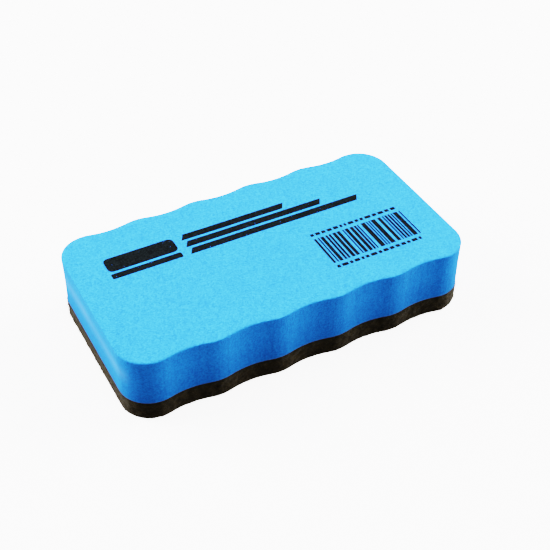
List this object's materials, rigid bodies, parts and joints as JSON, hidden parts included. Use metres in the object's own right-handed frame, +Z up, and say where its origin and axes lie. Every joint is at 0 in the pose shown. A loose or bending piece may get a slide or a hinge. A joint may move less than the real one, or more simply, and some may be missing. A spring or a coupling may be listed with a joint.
{
  "type": "chalkboard eraser",
  "caption": "Hand eraser for a writing board: scalloped blue foam block with a dark felt wiping pad glued under it and magnets sunk in the foam.",
  "frame": {"origin": "centre of the felt pad's flat wiping face, which rests on the XY plane", "axes": "+Z up from the wiping face through the foam block, +X along the length, +Y across the width"},
  "size_m": [0.11, 0.0588, 0.0215],
  "materials": {
    "blue_foam": "closed-cell foam with a cut, finely pitted matt surface",
    "dark_felt": "dense needle-punched felt with a slightly fuzzy cut edge",
    "hot_melt_film": "thin adhesive film, greyed by the felt's fibres where its edge shows in the joint",
    "ferrite": "sintered ferrite, dark grey and slightly grainy",
    "contact_glue": "dried amber contact glue",
    "print_ink": "matt black printing ink on the foam's top face"
  },
  "bodies": {
    "root": {"foam_body": "blue_foam", "felt_pad": "dark_felt", "pad_adhesive_film": "hot_melt_film", "magnet_left": "ferrite", "magnet_right": "ferrite", "magnet_glue_left": "contact_glue", "magnet_glue_right": "contact_glue"}
  },
  "joints": []
}
